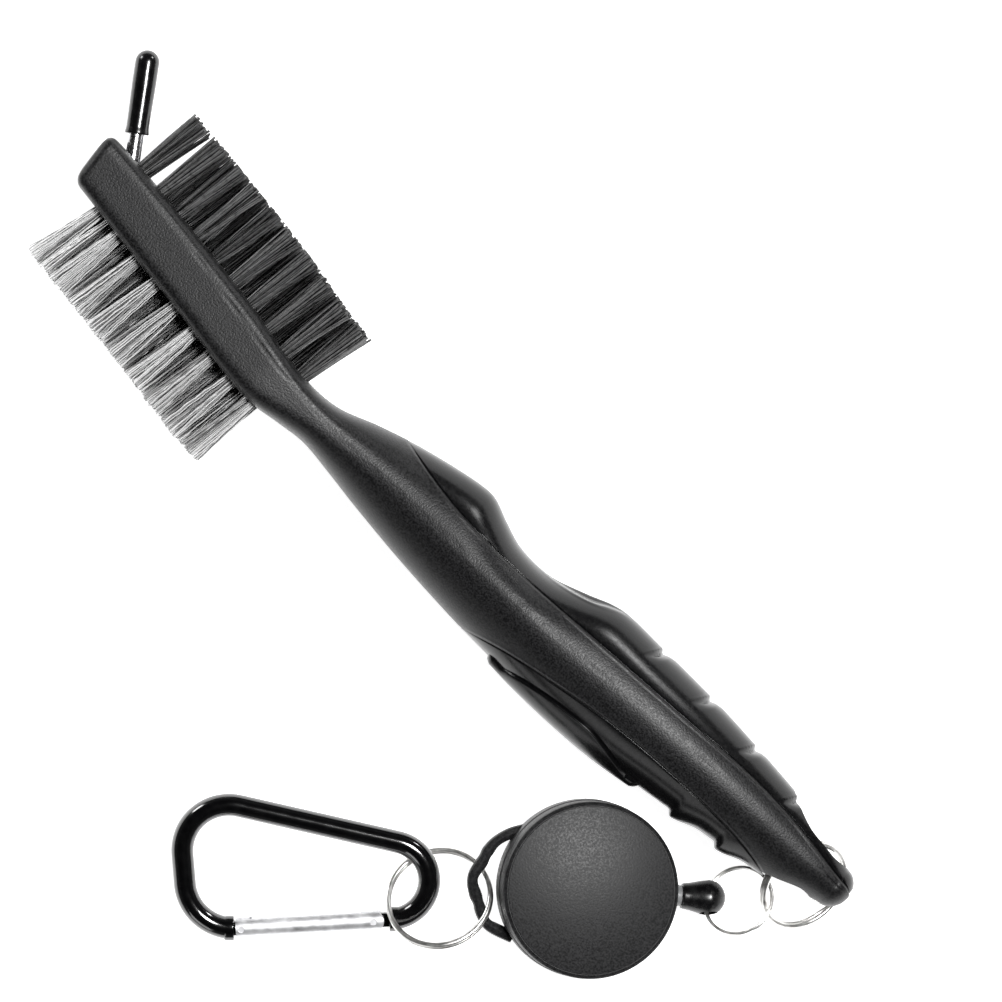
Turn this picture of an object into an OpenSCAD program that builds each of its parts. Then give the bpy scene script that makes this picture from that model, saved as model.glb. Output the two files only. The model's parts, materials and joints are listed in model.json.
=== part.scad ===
// Two-sided groove brush for golf clubs, with a key-reel lanyard and a carabiner.
// The brush lies on its side: +X runs to the head, +Y to the wire bristles, +Z is up.
// The origin is on the table, under the middle of the whole object.

/* [Handle] */
// Length of the moulded handle and head
brush_len = 190; // [186:1:194]
// Thickness of the head and of the palm swell, across the brush
body_thick = 22; // [21:0.5:24]
// Thickness of the rubber where it lies over the handle's tongue
rubber_thick = 2; // [1.5:0.1:2.5]
// Radius of the lanyard eye through the tail
eye_r = 3.3; // [3.2:0.1:3.6]

/* [Bristles] */
// Length that a tuft stands out of the head
tuft_len = 14; // [10:0.5:16]
// Distance from one tuft to the next along the head
tuft_pitch = 5.3; // [5.1:0.1:5.5]
// Diameter of a tuft hole
hole_d = 3; // [2.6:0.1:3.2]
// Depth of a tuft hole
hole_deep = 4.2; // [3.5:0.1:4.4]
// Tufts in an outer row of the nylon side
nylon_count = 10; // [6:1:10]
// Tufts in an outer row of the wire side
wire_count = 9; // [6:1:9]

/* [Spike] */
// Diameter of the steel spike
spike_d = 2.8; // [2.4:0.1:3]
// Length of the soft cap on the spike
cap_len = 15.3; // [14:0.1:18]
// Largest diameter of the cap
cap_d = 4.4; // [4.2:0.1:5]

/* [Rings] */
// Radius of the tail ring, at the middle of its wire
tail_ring_r = 8.45; // [8.4:0.01:8.5]
// Radius of the small ring in the cord end
cord_ring_r = 6.3; // [6.25:0.01:6.35]
// Radius of the ring between the reel and the carabiner
split_ring_r = 9.35; // [9.3:0.01:9.4]
// Thickness of the two big rings
ring_wire = 1.6; // [1.4:0.1:1.6]

/* [Reel] */
// Diameter of the reel's housing
reel_d = 32; // [32:0.5:33]
// Thickness of the reel's housing
reel_thick = 11; // [10.8:0.1:11]
// Wall thickness of the housing
reel_wall = 1.4; // [1.2:0.1:1.5]
// Diameter of the cord
cord_d = 0.8; // [0.6:0.1:0.9]

/* [Carabiner] */
// Diameter of the carabiner's bar
bar_d = 4.1; // [3.8:0.1:4.1]
// Diameter of the gate
gate_d = 3.8; // [3.6:0.1:4]

/* [Hidden] */
$fn = 48;

// The tail's tip stands this far from the origin, so that the origin is in the middle.
row_x = -98.5;
row_y = -33.45;
mid_z = body_thick / 2;
tiny = 0.01;

// Outlines of the brush, as [along, across] points from the tail's tip.
wire_side = [[0, 2.6], [1.5, 4.6], [4, 5.7], [8, 6.8], [13, 8.9], [20, 10.2], [30, 11.8], [41, 13.2],
    [50, 14.7], [62, 15.4], [74, 15.5], [85, 14.8], [100, 13.8], [113, 12.4], [121, 11.2],
    [127.5, 10.6], [133, 11.3], [139, 12], [146, 11.3], [160, 9.3], [175, 7.4], [186, 6], [190, 4.6]];
nylon_side = [[0, 0.6], [1.5, -1.2], [4, -2.6], [8, -4.2], [14, -5.3], [24, -6.4], [40, -7.6],
    [56, -7.9], [66, -7.6], [72, -5.4], [79, -3.2], [86, -3.1], [92, -4.8], [97, -6.4], [103, -5.6],
    [112, -3.5], [120, -1], [127, 1.7], [133, 2.3], [140, 1.5], [150, -0.5], [165, -2.6], [184, -4.9],
    [190, -4.6]];
// Half of the thickness, and how square the section is.
half_thickness = [[0, 2.6], [2, 4.4], [5, 5.8], [12, 7], [24, 8.8], [40, 10.4], [56, 11], [76, 11],
    [92, 10.2], [108, 9.4], [124, 9.4], [134, 10.4], [142, 11], [190, 11]];
squareness = [[0, 2.4], [110, 2.4], [128, 3.4], [142, 9], [190, 9]];
// Where the rubber ends on the handle's flat sides.
nylon_seam = [[1, 0], [5, -0.4], [12, -1.4], [20, -2.2], [30, -2.4], [45, -1.6], [65, -0.6],
    [85, 0.4], [98, 0], [107, -1.2], [115, -2.9]];
wire_seam = [[13.5, 8.9], [17, 8], [22, 7.3], [30, 7], [37, 7.2], [45, 7.6], [55, 8.5], [65, 10.2],
    [75, 12.2], [84, 14.8]];
// Where along the brush the handle gives way to each grip, each grip's own ends, and its tongue's ends.
thumb_gap_x = [2, 112];
thumb_x = [3, 107];
thumb_tongue_x = [20, 102];
palm_gap_x = [16, 82];
palm_x = [22, 76];
palm_tongue_x = [28, 70];
tongue_inset = 2.4;
tongue_root = 0.5;
stations = [0, 0.6, 1.5, 3, 5, 8, 12, 16, 22, 28, 34, 40, 46, 52, 58, 64, 70, 76, 82, 88, 93, 97, 102,
    107, 112, 118, 123, 128, 133, 138, 142, 148, 156, 168, 180, 186, 189, brush_len];
section_steps = 8;

// Bristles: foot of the first tuft of each side, the slope of each face, and the rows.
row_gap = 5.4;
nylon_first = 135.2;
wire_first = 140.2;
nylon_lean = 8.4;
wire_lean = -7.4;
tuft_spread = 1.4;
anchor_size = [2.7, 0.4, 1.4];

// The spike: where it leaves the head, and where it points.
spike_at = [185.2, -4.8, mid_z];
spike_turn = -54.3;
spike_in = 7;
spike_out = 16.4;
spike_point = 4;
cap_gap = 4.8;
cap_bore_r = spike_d / 2 + 0.05;
cap_bore = 12.4;

// The lanyard eye: a slot through the tail, flared on the nylon side.
eye_x = [8.4, 12.2];
eye_mouth_r = 6.8;

// The tail ring leans from the eye down to the table.
tail_ring_at = [7.1, 5.1, 6.3];
tail_ring_lean = 40;

// The reel leans on its loop: turn about +Z of its cord's line, and slope of its face.
reel_at = [34.62, 32.82, 7.94];
cord_turn = 219.5;
reel_slope = 9;
reel_r = reel_d / 2;
reel_h = reel_thick / 2;
housing_seam = 2.5;
cap_skirt = 1;
skirt_wall = 0.8;
fit_gap = 0.1;
axle_r = 1.5;
axle_head_r = 3;
spool_r = 13.2;
spool_hub_r = 9.6;
spool_cup_r = 9;
spool_flange = 0.7;
spool_low = -3.8;
spool_web = 0.6;
spring_turns = 4;
spring_strip = 0.3;
spring_in_r = 1.55;
spring_out_r = 8.4;
loop_reach = 22;
loop_half = 8.5;
loop_corner = 4;
loop_strap = 2.2;
loop_thick = 1.6;
loop_z = -4.5;
bush_out = 1.2;
bush_r = 1.9;
cord_hole_r = 0.6;

// The cord end, a bell of rubber, measured from the reel's middle along the cord.
bell_from = 17.25;
bell_to = 25.3;
bell_small_r = 2.35;
bell_big_r = 3.35;
ring_hole_at = 22.3;
ring_hole_r = 1.65;
ring_hole_turn = -15;
crimp_r = 1.1;

// The small ring's stance: heading, rise and roll about the line from the cord end.
cord_ring_from = 21.75;
cord_ring_turn = 220;
cord_ring_rise = 22;
cord_ring_roll = -20;
cord_ring_wire = 1;

// The line of the chain past the reel, and the stances of the last ring and the carabiner.
chain_turn = 224.1;
split_ring_at = [52.64, 52.79, 5.06];
split_ring_rise = 9;
split_ring_roll = -26;
carabiner_at = [73.95, 65.43, 0];
carabiner_tilt = 9;
bar_r = bar_d / 2;
// The carabiner's outline runs round three circles: [x, y, radius].
top_bend = [-13.9, 2.9, 8.5];
low_bend = [-13.1, -2.5, 8.9];
end_bend = [15.1, -2.5, 7.2];
hinge_at = [12.2, -9.9];
gate_turn = 3.3;
gate_len = 25.4;
catch_x = -24;
gate_r = gate_d / 2;
bar_sides = 16;
bend_steps = 12;
tongue_r = 1.3;
tongue_thick = 1.5;
slot_gap = 0.15;
pin_r = 0.6;
pin_gap = 0.05;
gate_bore_r = 1.1;

// A smooth line through points [along, across], read at x.
function span_of(p, x, i = 0) = (i >= len(p) - 2 || x < p[i + 1][0]) ? i : span_of(p, x, i + 1);
function rise_at(p, i) = let (a = max(i - 1, 0), b = min(i + 1, len(p) - 1))
    (p[b][1] - p[a][1]) / (p[b][0] - p[a][0]);
function along(p, x) = let (i = span_of(p, x), h = p[i + 1][0] - p[i][0],
    t = min(1, max(0, (x - p[i][0]) / h)), s = t * t, c = s * t)
    (2 * c - 3 * s + 1) * p[i][1] + (c - 2 * s + t) * h * rise_at(p, i)
    + (3 * s - 2 * c) * p[i + 1][1] + (c - s) * h * rise_at(p, i + 1);
function within(x, ends) = x >= ends[0] && x <= ends[1];
function low_y(x) = along(nylon_side, x);
function high_y(x) = along(wire_side, x);
function half_z(x, y, inset) = let (c = (low_y(x) + high_y(x)) / 2,
    w = (high_y(x) - low_y(x)) / 2 - inset, u = min(1, abs(y - c) / w), n = along(squareness, x))
    (min(1, along(half_thickness, x) / 11) * mid_z - inset)
    * min(1, 1.04 * pow(max(0, 1 - pow(u, n)), 1 / n));
function even(a, b, j) = a + (b - a) * (1 - cos(180 * j / section_steps)) / 2;
// One closed section at x, between two lines across the brush.
function section(x, a, b, inset) = concat(
    [for (j = [0:section_steps]) let (y = even(a, b, j)) [x, y, max(0.05, half_z(x, y, inset))]],
    [for (j = [section_steps:-1:0]) let (y = even(a, b, j)) [x, y, -max(0.05, half_z(x, y, inset))]]);

// A solid through a list of sections with equally many points.
module through(sections) {
    n = len(sections[0]);
    m = len(sections);
    polyhedron(
        points = [for (s = sections) each s],
        faces = concat(
            [[for (j = [n - 1:-1:0]) j]],
            [for (i = [0:m - 2], j = [0:n - 1], k = [0, 1]) let (q = (j + 1) % n)
                k == 0 ? [i * n + j, i * n + q, (i + 1) * n + j]
                    : [i * n + q, (i + 1) * n + q, (i + 1) * n + j]],
            [[for (j = [0:n - 1]) (m - 1) * n + j]]));
}

// Children drawn from the tail's tip, set down around the origin.
module placed() translate([row_x, row_y, 0]) children();
module on_brush() placed() translate([0, 0, mid_z]) children();
module on_spike() placed() translate(spike_at) rotate([0, 90, spike_turn]) children();
module on_reel() placed() translate(reel_at) rotate([0, reel_slope, cord_turn]) children();
module on_carabiner() placed() translate(carabiner_at) rotate([0, 0, chain_turn])
    translate([0, low_bend[1] - low_bend[2], bar_r]) rotate([carabiner_tilt, 0, 0])
    translate([0, low_bend[2] - low_bend[1], 0]) children();

module ring(r, wire) rotate_extrude() translate([r, 0]) circle(r = wire / 2, $fn = 24);
module tube(r_out, r_in, low, high) difference() {
    translate([0, 0, low]) cylinder(r = r_out, h = high - low);
    translate([0, 0, low - 1]) cylinder(r = r_in, h = high - low + 2);
}
// A bar along +X from one place to another.
module rod_x(r, from, to) translate([from, 0, 0]) rotate([0, 90, 0]) cylinder(r = r, h = to - from);

// The lanyard eye, cut across the brush.
module eye() {
    for (x = eye_x) {
        translate([x, -20, 0]) rotate([-90, 0, 0]) cylinder(r = eye_r, h = 40);
        translate([x, -1, 0]) rotate([90, 0, 0]) cylinder(r1 = eye_r, r2 = eye_mouth_r, h = 3.5);
    }
    translate([eye_x[0], -20, -eye_r]) cube([eye_x[1] - eye_x[0], 40, 2 * eye_r]);
}

// Feet of the tufts: three rows, the middle one half a pitch along and shorter by a few tufts.
function tuft_feet(first, count, fewer) = [for (row = [-1:1], i = [0:count - 1 - (row == 0 ? fewer : 0)])
    [first + (i + (row == 0 ? 0.5 : 0)) * tuft_pitch, row * row_gap]];
module at_nylon_feet() for (f = tuft_feet(nylon_first, nylon_count, 2))
    translate([f[0], low_y(f[0]), f[1]]) rotate([90, 0, -nylon_lean]) children();
module at_wire_feet() for (f = tuft_feet(wire_first, wire_count, 1))
    translate([f[0], high_y(f[0]), f[1]]) rotate([-90, 0, wire_lean]) children();
module tuft() {
    translate([0, 0, -hole_deep + anchor_size[2]])
        cylinder(d = hole_d - 0.1, h = hole_deep - anchor_size[2] + 0.3, $fn = 16);
    translate([0, 0, 0.3])
        cylinder(d1 = hole_d - 0.1, d2 = hole_d + tuft_spread, h = tuft_len - 0.3, $fn = 16);
}
module anchor() translate([-anchor_size[0] / 2, -anchor_size[1] / 2, -hole_deep]) cube(anchor_size);
module tuft_hole() translate([0, 0, -hole_deep]) cylinder(d = hole_d, h = hole_deep + 3, $fn = 16);

// The handle's tongue inside each rubber grip.
module thumb_tongue() through([for (x = stations) if (within(x, thumb_tongue_x))
    section(x, low_y(x) + tongue_inset, along(nylon_seam, x) + tongue_root, rubber_thick)]);
module palm_tongue() through([for (x = stations) if (within(x, palm_tongue_x))
    section(x, along(wire_seam, x) - tongue_root, high_y(x) - tongue_inset, rubber_thick)]);

module handle_core() color("#1d1d1f") on_brush() difference() {
    union() {
        through([for (x = stations) section(x,
            within(x, thumb_gap_x) ? along(nylon_seam, x) : low_y(x),
            within(x, palm_gap_x) ? along(wire_seam, x) : high_y(x), 0)]);
        thumb_tongue();
        palm_tongue();
    }
    eye();
    at_nylon_feet() tuft_hole();
    at_wire_feet() tuft_hole();
    translate(spike_at - [0, 0, mid_z]) rotate([0, 90, spike_turn])
        translate([0, 0, -spike_in]) cylinder(d = spike_d, h = spike_in + 4);
}
module thumb_grip() color("#141414") on_brush() difference() {
    through([for (x = stations) if (within(x, thumb_x))
        section(x, low_y(x), along(nylon_seam, x), 0)]);
    thumb_tongue();
    eye();
}
module palm_grip() color("#141414") on_brush() difference() {
    through([for (x = stations) if (within(x, palm_x))
        section(x, along(wire_seam, x), high_y(x), 0)]);
    palm_tongue();
}
module nylon_tufts() color("#0f0f10") on_brush() at_nylon_feet() tuft();
module wire_tufts() color("#c9c9c6") on_brush() at_wire_feet() tuft();
module nylon_anchors() color("#b99a4b") on_brush() at_nylon_feet() anchor();
module wire_anchors() color("#b99a4b") on_brush() at_wire_feet() anchor();

module spike() color("#9fa0a2") on_spike() {
    translate([0, 0, -spike_in]) cylinder(d = spike_d, h = spike_in + spike_out - spike_point);
    translate([0, 0, spike_out - spike_point]) cylinder(d1 = spike_d, d2 = 0.6, h = spike_point);
}
module spike_cap() color("#121212") on_spike() translate([0, 0, cap_gap]) difference() {
    union() {
        cylinder(d1 = cap_d - 0.4, d2 = cap_d, h = cap_len - cap_d / 2);
        translate([0, 0, cap_len - cap_d / 2]) sphere(d = cap_d);
    }
    translate([0, 0, -1]) cylinder(r = cap_bore_r, h = cap_bore + 1);
}

module tail_ring() color("#d8d8da") placed() translate(tail_ring_at) rotate([0, -tail_ring_lean, 0])
    ring(tail_ring_r, ring_wire);
module cord_ring() color("#d8d8da") on_reel() translate([cord_ring_from, 0, 0])
    rotate([0, -reel_slope, 0]) rotate([0, 0, cord_ring_turn - cord_turn])
    rotate([0, -cord_ring_rise, 0]) rotate([cord_ring_roll, 0, 0])
    translate([cord_ring_r, 0, 0]) ring(cord_ring_r, cord_ring_wire);

module cord_end() color("#111112") on_reel() difference() {
    union() {
        translate([bell_from, 0, 0]) rotate([0, 90, 0])
            cylinder(r1 = bell_small_r, r2 = bell_big_r, h = bell_to - bell_big_r - bell_from);
        translate([bell_to - bell_big_r, 0, 0]) sphere(r = bell_big_r);
    }
    rod_x(cord_hole_r, bell_from - 1, ring_hole_at);
    rod_x(crimp_r + tiny, bell_from + 1, ring_hole_at - ring_hole_r - 0.2);
    translate([ring_hole_at, 0, 0]) rotate([90 + ring_hole_turn, 0, 0])
        cylinder(r = ring_hole_r, h = 10, center = true);
}
module cord_crimp() color("#c8a95a") on_reel() difference() {
    rod_x(crimp_r, bell_from + 1, ring_hole_at - ring_hole_r - 0.3);
    rod_x(cord_d / 2, bell_from, ring_hole_at);
}
module cord_tail() color("#1a1a1a") on_reel()
    rod_x(cord_d / 2, spool_r + 0.2, ring_hole_at - ring_hole_r - 0.3);
module exit_bush() color("#8e8f90") on_reel() difference() {
    union() {
        rod_x(bush_r, reel_r - reel_wall - 0.3, reel_r + bush_out);
        rod_x(bush_r - 0.5, reel_r - reel_wall - 0.4, reel_r);
    }
    rod_x(cord_hole_r, reel_r - reel_wall - 2, reel_r + bush_out + 1);
}

// A plate with round corners, drawn as exact arcs.
module plate(x, y, r) {
    for (a = [-1, 1]) for (b = [-1, 1]) translate([a * (x / 2 - r), b * (y / 2 - r)]) circle(r = r);
    square([x - 2 * r, y], center = true);
    square([x, y - 2 * r], center = true);
}
module bush_hole() rod_x(bush_r, reel_r - reel_wall - 2, reel_r + bush_out + 2);
module reel_back() color("#1b1b1c") on_reel() difference() {
    union() {
        tube(reel_r, reel_r - reel_wall, -reel_h, housing_seam);
        translate([0, 0, -reel_h]) cylinder(r = reel_r, h = reel_wall);
        translate([0, 0, loop_z - loop_thick / 2]) linear_extrude(loop_thick) difference() {
            plate(2 * loop_reach + loop_strap, 2 * loop_half + loop_strap, loop_corner + loop_strap / 2);
            plate(2 * loop_reach - loop_strap, 2 * loop_half - loop_strap, loop_corner - loop_strap / 2);
            circle(r = reel_r - reel_wall / 2);
            translate([0, -20]) square(40);
        }
    }
    bush_hole();
    translate([0, 0, -reel_h - 1]) cylinder(r = axle_r, h = 4);
}
module reel_front() color("#1f1f20") on_reel() difference() {
    union() {
        translate([0, 0, reel_h - reel_wall]) cylinder(r = reel_r, h = reel_wall);
        tube(reel_r, reel_r - reel_wall, housing_seam, reel_h);
        tube(reel_r - reel_wall - fit_gap / 2, reel_r - reel_wall - skirt_wall,
            housing_seam - cap_skirt, reel_h);
    }
    bush_hole();
}
module reel_axle() color("#b8b9bb") on_reel() {
    translate([0, 0, -reel_h]) cylinder(r = axle_r, h = 2 * reel_h - reel_wall - fit_gap);
}
module reel_spool() color("#d9d9d4") on_reel() {
    tube(spool_hub_r, spool_cup_r, spool_low, spool_web + spool_flange);
    tube(spool_r, spool_cup_r, spool_low, spool_low + spool_flange);
    tube(spool_r, axle_r + pin_gap, spool_web, spool_web + spool_flange);
    tube(axle_head_r, axle_r + pin_gap, spool_web, reel_h - reel_wall - 2 * fit_gap);
}
module cord_winding() color("#161616") on_reel()
    tube(spool_r - 1, spool_hub_r, spool_low + spool_flange + tiny, spool_web - tiny);
// A flat spiral of spring strip, from the axle out to the spool's cup.
spiral_steps = 14;
spiral_last = spiral_steps * spring_turns;
function spiral(i, off) = let (a = 360 * i / spiral_steps,
    r = spring_in_r + (spring_out_r - spring_in_r) * i / spiral_last + off) [r * cos(a), r * sin(a)];
module reel_spring() color("#8b8c90") on_reel() translate([0, 0, spool_low + 0.2])
    linear_extrude(spool_web - spool_low - 0.5) polygon(concat(
        [for (i = [0:spiral_last]) spiral(i, 0)], [for (i = [spiral_last:-1:0]) spiral(i, spring_strip)]));

module split_ring() color("#d8d8da") placed() translate(split_ring_at) rotate([0, 0, chain_turn])
    rotate([0, -split_ring_rise, 0]) rotate([split_ring_roll, 0, 0]) ring(split_ring_r, ring_wire);

// Direction from circle p to q at which the outline leaves both.
function leave(p, q) = let (d = [q[0] - p[0], q[1] - p[1]])
    atan2(d[1], d[0]) + acos((p[2] - q[2]) / norm(d));
top_a = leave(top_bend, end_bend);
back_a = leave(low_bend, top_bend);
// Stops along the bar, as [bend, angle], from the hinge round to the nose.
bar_stops = concat(
    [for (i = [0:bend_steps]) [end_bend, -90 + (top_a + 90) * i / bend_steps]],
    [for (i = [0:bend_steps / 2]) [top_bend, top_a + (back_a - top_a) * i / (bend_steps / 2)]],
    [for (i = [0:bend_steps / 2]) [low_bend, back_a + (270 - back_a) * i / (bend_steps / 2)]]);
function bar_section(c, a) = [for (k = [0:bar_sides - 1])
    let (t = 360 * k / bar_sides, r = c[2] + bar_r * cos(t))
    [c[0] + r * cos(a), c[1] + r * sin(a), bar_r * sin(t)]];
module on_gate() on_carabiner() translate([hinge_at[0], hinge_at[1], 0]) rotate([0, 0, gate_turn]) children();
module carabiner_body() color("#101012") {
    on_carabiner() through([for (s = bar_stops) bar_section(s[0], s[1])]);
    on_gate() difference() {
        union() {
            cylinder(r = tongue_r, h = tongue_thick, center = true);
            translate([0, -tongue_r, -tongue_thick / 2]) cube([4, 2 * tongue_r, tongue_thick]);
        }
        cylinder(r = pin_r, h = 10, center = true);
    }
    on_gate() difference() {
        translate([-gate_len - 1, -tongue_r, -tongue_thick / 2]) cube([3.6, 2 * tongue_r, tongue_thick]);
        translate([catch_x, 0, 0]) cylinder(r = pin_r + slot_gap, h = 10, center = true);
        translate([catch_x - pin_r - slot_gap, 0, -5]) cube([2 * (pin_r + slot_gap), 4, 10]);
    }
}
module gate_slot(from, to) translate([from, -4, -tongue_thick / 2 - slot_gap])
    cube([to - from, 8, tongue_thick + 2 * slot_gap]);
module carabiner_gate() color("#c4c4c6") on_gate() difference() {
    intersection() {
        rod_x(gate_r, -gate_len + 0.4, gate_r);
        union() {
            translate([-gate_len, -4, -4]) cube([gate_len, 8, 8]);
            cylinder(r = gate_r, h = 8, center = true);
        }
    }
    gate_slot(-2.2, 6);
    gate_slot(-gate_len - 1, catch_x + 2);
    rod_x(gate_bore_r, -12, -1.4);
    cylinder(r = pin_r + pin_gap, h = 10, center = true);
    translate([catch_x, 0, 0]) cylinder(r = pin_r, h = 10, center = true);
}
module hinge_rivet() color("#b4b4b6") on_gate() cylinder(r = pin_r, h = 2 * gate_r - 0.6, center = true);
module catch_pin() color("#b4b4b6") on_gate() translate([catch_x, 0, 0])
    cylinder(r = pin_r, h = 2 * gate_r - 0.4, center = true);
// A coil spring's outer shape behind the plunger that bears on the tongue.
module gate_spring() color("#9a9a9c") on_gate() difference() {
    rod_x(gate_bore_r - 0.05, -11.9, -5);
    rod_x(gate_bore_r - 0.4, -12.5, -4);
}
module gate_plunger() color("#8a8a8c") on_gate() rod_x(gate_bore_r - 0.05, -4.95, -1.6);

handle_core();
thumb_grip();
palm_grip();
nylon_tufts();
wire_tufts();
nylon_anchors();
wire_anchors();
spike();
spike_cap();
tail_ring();
cord_ring();
cord_end();
cord_crimp();
cord_tail();
exit_bush();
reel_back();
reel_front();
reel_spool();
reel_spring();
reel_axle();
cord_winding();
split_ring();
carabiner_body();
carabiner_gate();
hinge_rivet();
catch_pin();
gate_spring();
gate_plunger();
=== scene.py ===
# The looks of a two-sided groove brush for golf clubs, with its reel lanyard and carabiner.
# Every piece is drawn in millimetres in its own part's frame, and then set down in its place.

import functools
import json
import math
import random

import bmesh
import bpy
import numpy as np
from mathutils import Matrix, Vector


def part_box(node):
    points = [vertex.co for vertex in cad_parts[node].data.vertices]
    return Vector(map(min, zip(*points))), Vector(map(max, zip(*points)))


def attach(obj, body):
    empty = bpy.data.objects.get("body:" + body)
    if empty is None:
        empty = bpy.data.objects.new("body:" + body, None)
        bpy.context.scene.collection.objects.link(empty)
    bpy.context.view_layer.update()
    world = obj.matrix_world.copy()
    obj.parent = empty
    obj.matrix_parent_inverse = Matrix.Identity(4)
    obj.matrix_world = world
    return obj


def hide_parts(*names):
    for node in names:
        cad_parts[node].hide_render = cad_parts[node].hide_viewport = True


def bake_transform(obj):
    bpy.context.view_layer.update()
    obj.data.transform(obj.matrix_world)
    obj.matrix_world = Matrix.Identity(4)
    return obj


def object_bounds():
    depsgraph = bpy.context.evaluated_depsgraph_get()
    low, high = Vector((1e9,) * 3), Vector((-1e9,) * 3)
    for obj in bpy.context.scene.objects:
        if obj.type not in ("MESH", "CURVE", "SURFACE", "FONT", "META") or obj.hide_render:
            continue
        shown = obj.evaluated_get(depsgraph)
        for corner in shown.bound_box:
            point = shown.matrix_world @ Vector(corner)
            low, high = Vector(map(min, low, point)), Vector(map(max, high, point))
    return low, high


MM = 0.001
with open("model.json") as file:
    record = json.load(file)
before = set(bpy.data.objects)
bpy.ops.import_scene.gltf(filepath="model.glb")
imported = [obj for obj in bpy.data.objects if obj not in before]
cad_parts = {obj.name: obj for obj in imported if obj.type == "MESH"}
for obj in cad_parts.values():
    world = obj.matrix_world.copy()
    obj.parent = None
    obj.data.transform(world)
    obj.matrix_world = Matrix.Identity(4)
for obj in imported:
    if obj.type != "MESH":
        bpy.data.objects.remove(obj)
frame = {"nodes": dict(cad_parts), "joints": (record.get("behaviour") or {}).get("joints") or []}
cad_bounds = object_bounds()
joints = {j["name"]: j for j in frame["joints"]}


# ---------------------------------------------------------------- where things are


def centre_of(node):
    low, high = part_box(node)
    return (low + high) / 2


def stand(origin, x_way, z_way):
    """Millimetres in a part's own frame, to metres in the row frame."""
    z = Vector(z_way).normalized()
    x = Vector(x_way)
    x = (x - z * x.dot(z)).normalized()
    turn = Matrix((x, z.cross(x), z)).transposed().to_4x4()
    return Matrix.Translation(origin) @ turn @ Matrix.Scale(MM, 4)


def ring_stand(node):
    """A ring's middle, with its axis along z, from the flat way of its own mesh."""
    points = np.array([v.co for v in frame["nodes"][node].data.vertices], float)
    middle = (points.max(0) + points.min(0)) / 2
    ways = np.linalg.svd(points - points.mean(0), full_matrices=False)[2]
    axis = Vector(ways[2])
    return stand(Vector(middle), ways[0], axis if axis.z > 0 else -axis)


# Outlines of the brush, as (along, across) points from the tail's tip.
wire_edge_points = [(3.5, 5.5), (8, 6.8), (13, 8.8), (20, 10), (30, 11.5), (41, 13.1), (50, 14.5),
    (60, 15.2), (70, 15.3), (77, 15), (85, 14.8), (100, 13.8), (113, 12.4), (121, 11.3),
    (127.5, 10.6), (133, 11.2), (139, 12), (146, 11.5), (160, 9.3), (175, 7.4), (190, 5.4)]
nylon_edge_points = [(3.5, -2.5), (8, -4.2), (14, -5.3), (24, -6.4), (40, -7.6), (56, -7.9),
    (64, -7.9), (67.5, -7.1), (72, -5.3), (79, -3.1), (86, -3.1), (91, -4.6), (95.5, -6.3),
    (98, -6.4), (103, -5.6), (112, -3.5), (120, -1), (127, 1.6), (133, 2.2), (140, 1.5),
    (150, -0.5), (165, -2.6), (184, -4.8), (190, -5.2)]
half_thickness_points = [(3.5, 5.2), (8, 6.3), (12, 7), (24, 8.8), (40, 10.4), (56, 11), (76, 11),
    (92, 10.2), (108, 9.4), (124, 9.4), (134, 10.4), (142, 11), (190, 11)]
squareness_points = [(0, 2), (108, 2), (122, 2.5), (132, 4), (143, 7), (190, 7.5)]
# Where the rubber meets the hard handle on its flat sides, and the mould's parting line.
nylon_seam_points = [(1, 0), (5, -0.4), (12, -1.4), (20, -2.2), (30, -2.4), (45, -1.6), (65, -0.6),
    (85, 0.4), (98, 0), (107, -1.2), (115, -2.9)]
wire_seam_points = [(13.5, 8.9), (17, 8), (22, 7.3), (30, 7), (37, 7.2), (45, 7.6), (55, 8.5),
    (65, 10.2), (75, 12.2), (84, 14.8)]
parting_points = [(3.5, 0.9), (20, 0.9), (45, 1.4), (65, 3.4), (85, 4), (110, 5.2), (130, 5),
    (145, 3.2), (157, 1), (170, -1.2), (180, -2.6), (190, -3.4)]
# The raised pad on the palm side: its edge on the flat sides.
pad_edge_points = [(41.3, 14), (45, 12.9), (50, 12), (55, 11.5), (60, 12), (65, 12.7), (71, 14), (77, 15.9)]
# The rim of the thumb scoop.
scoop_rim_points = [(63.5, -7.9), (67, -6.5), (70, -4.9), (75, -3.5), (80, -2.9), (86, -3.1)]

brush_len = 190.0
nose_r = 3.5
nose_y = 1.4
end_r = 1.7
end_slant = 0.12
body_half = 11.0
palm_side = 15.5

core_low, core_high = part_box("handle_core")
brush_frame = Matrix.Translation((core_low.x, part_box("palm_grip")[1].y - palm_side * MM,
    (core_low.z + core_high.z) / 2)) @ Matrix.Scale(MM, 4)


def along(points, x):
    """A smooth line through points, read at x."""
    i = 0
    while i < len(points) - 2 and x >= points[i + 1][0]:
        i += 1

    def rise(k):
        a, b = points[max(k - 1, 0)], points[min(k + 1, len(points) - 1)]
        return (b[1] - a[1]) / (b[0] - a[0])

    h = points[i + 1][0] - points[i][0]
    t = min(1.0, max(0.0, (x - points[i][0]) / h))
    s, c = t * t, t * t * t
    return ((2 * c - 3 * s + 1) * points[i][1] + (c - 2 * s + t) * h * rise(i)
        + (3 * s - 2 * c) * points[i + 1][1] + (c - s) * h * rise(i + 1))


def smooth(t):
    t = min(1.0, max(0.0, t))
    return t * t * (3 - 2 * t)


def hump(t):
    """1 at zero, and gone by one either way."""
    return 1 - smooth(abs(t))


@functools.lru_cache(None)
def nylon_edge(x):
    return along(nylon_edge_points, x)


@functools.lru_cache(None)
def wire_edge(x):
    return along(wire_edge_points, x)


@functools.lru_cache(None)
def thickness(x):
    return min(1.0, along(half_thickness_points, x) / body_half) * body_half


@functools.lru_cache(None)
def squareness(x):
    return along(squareness_points, x)


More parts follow.
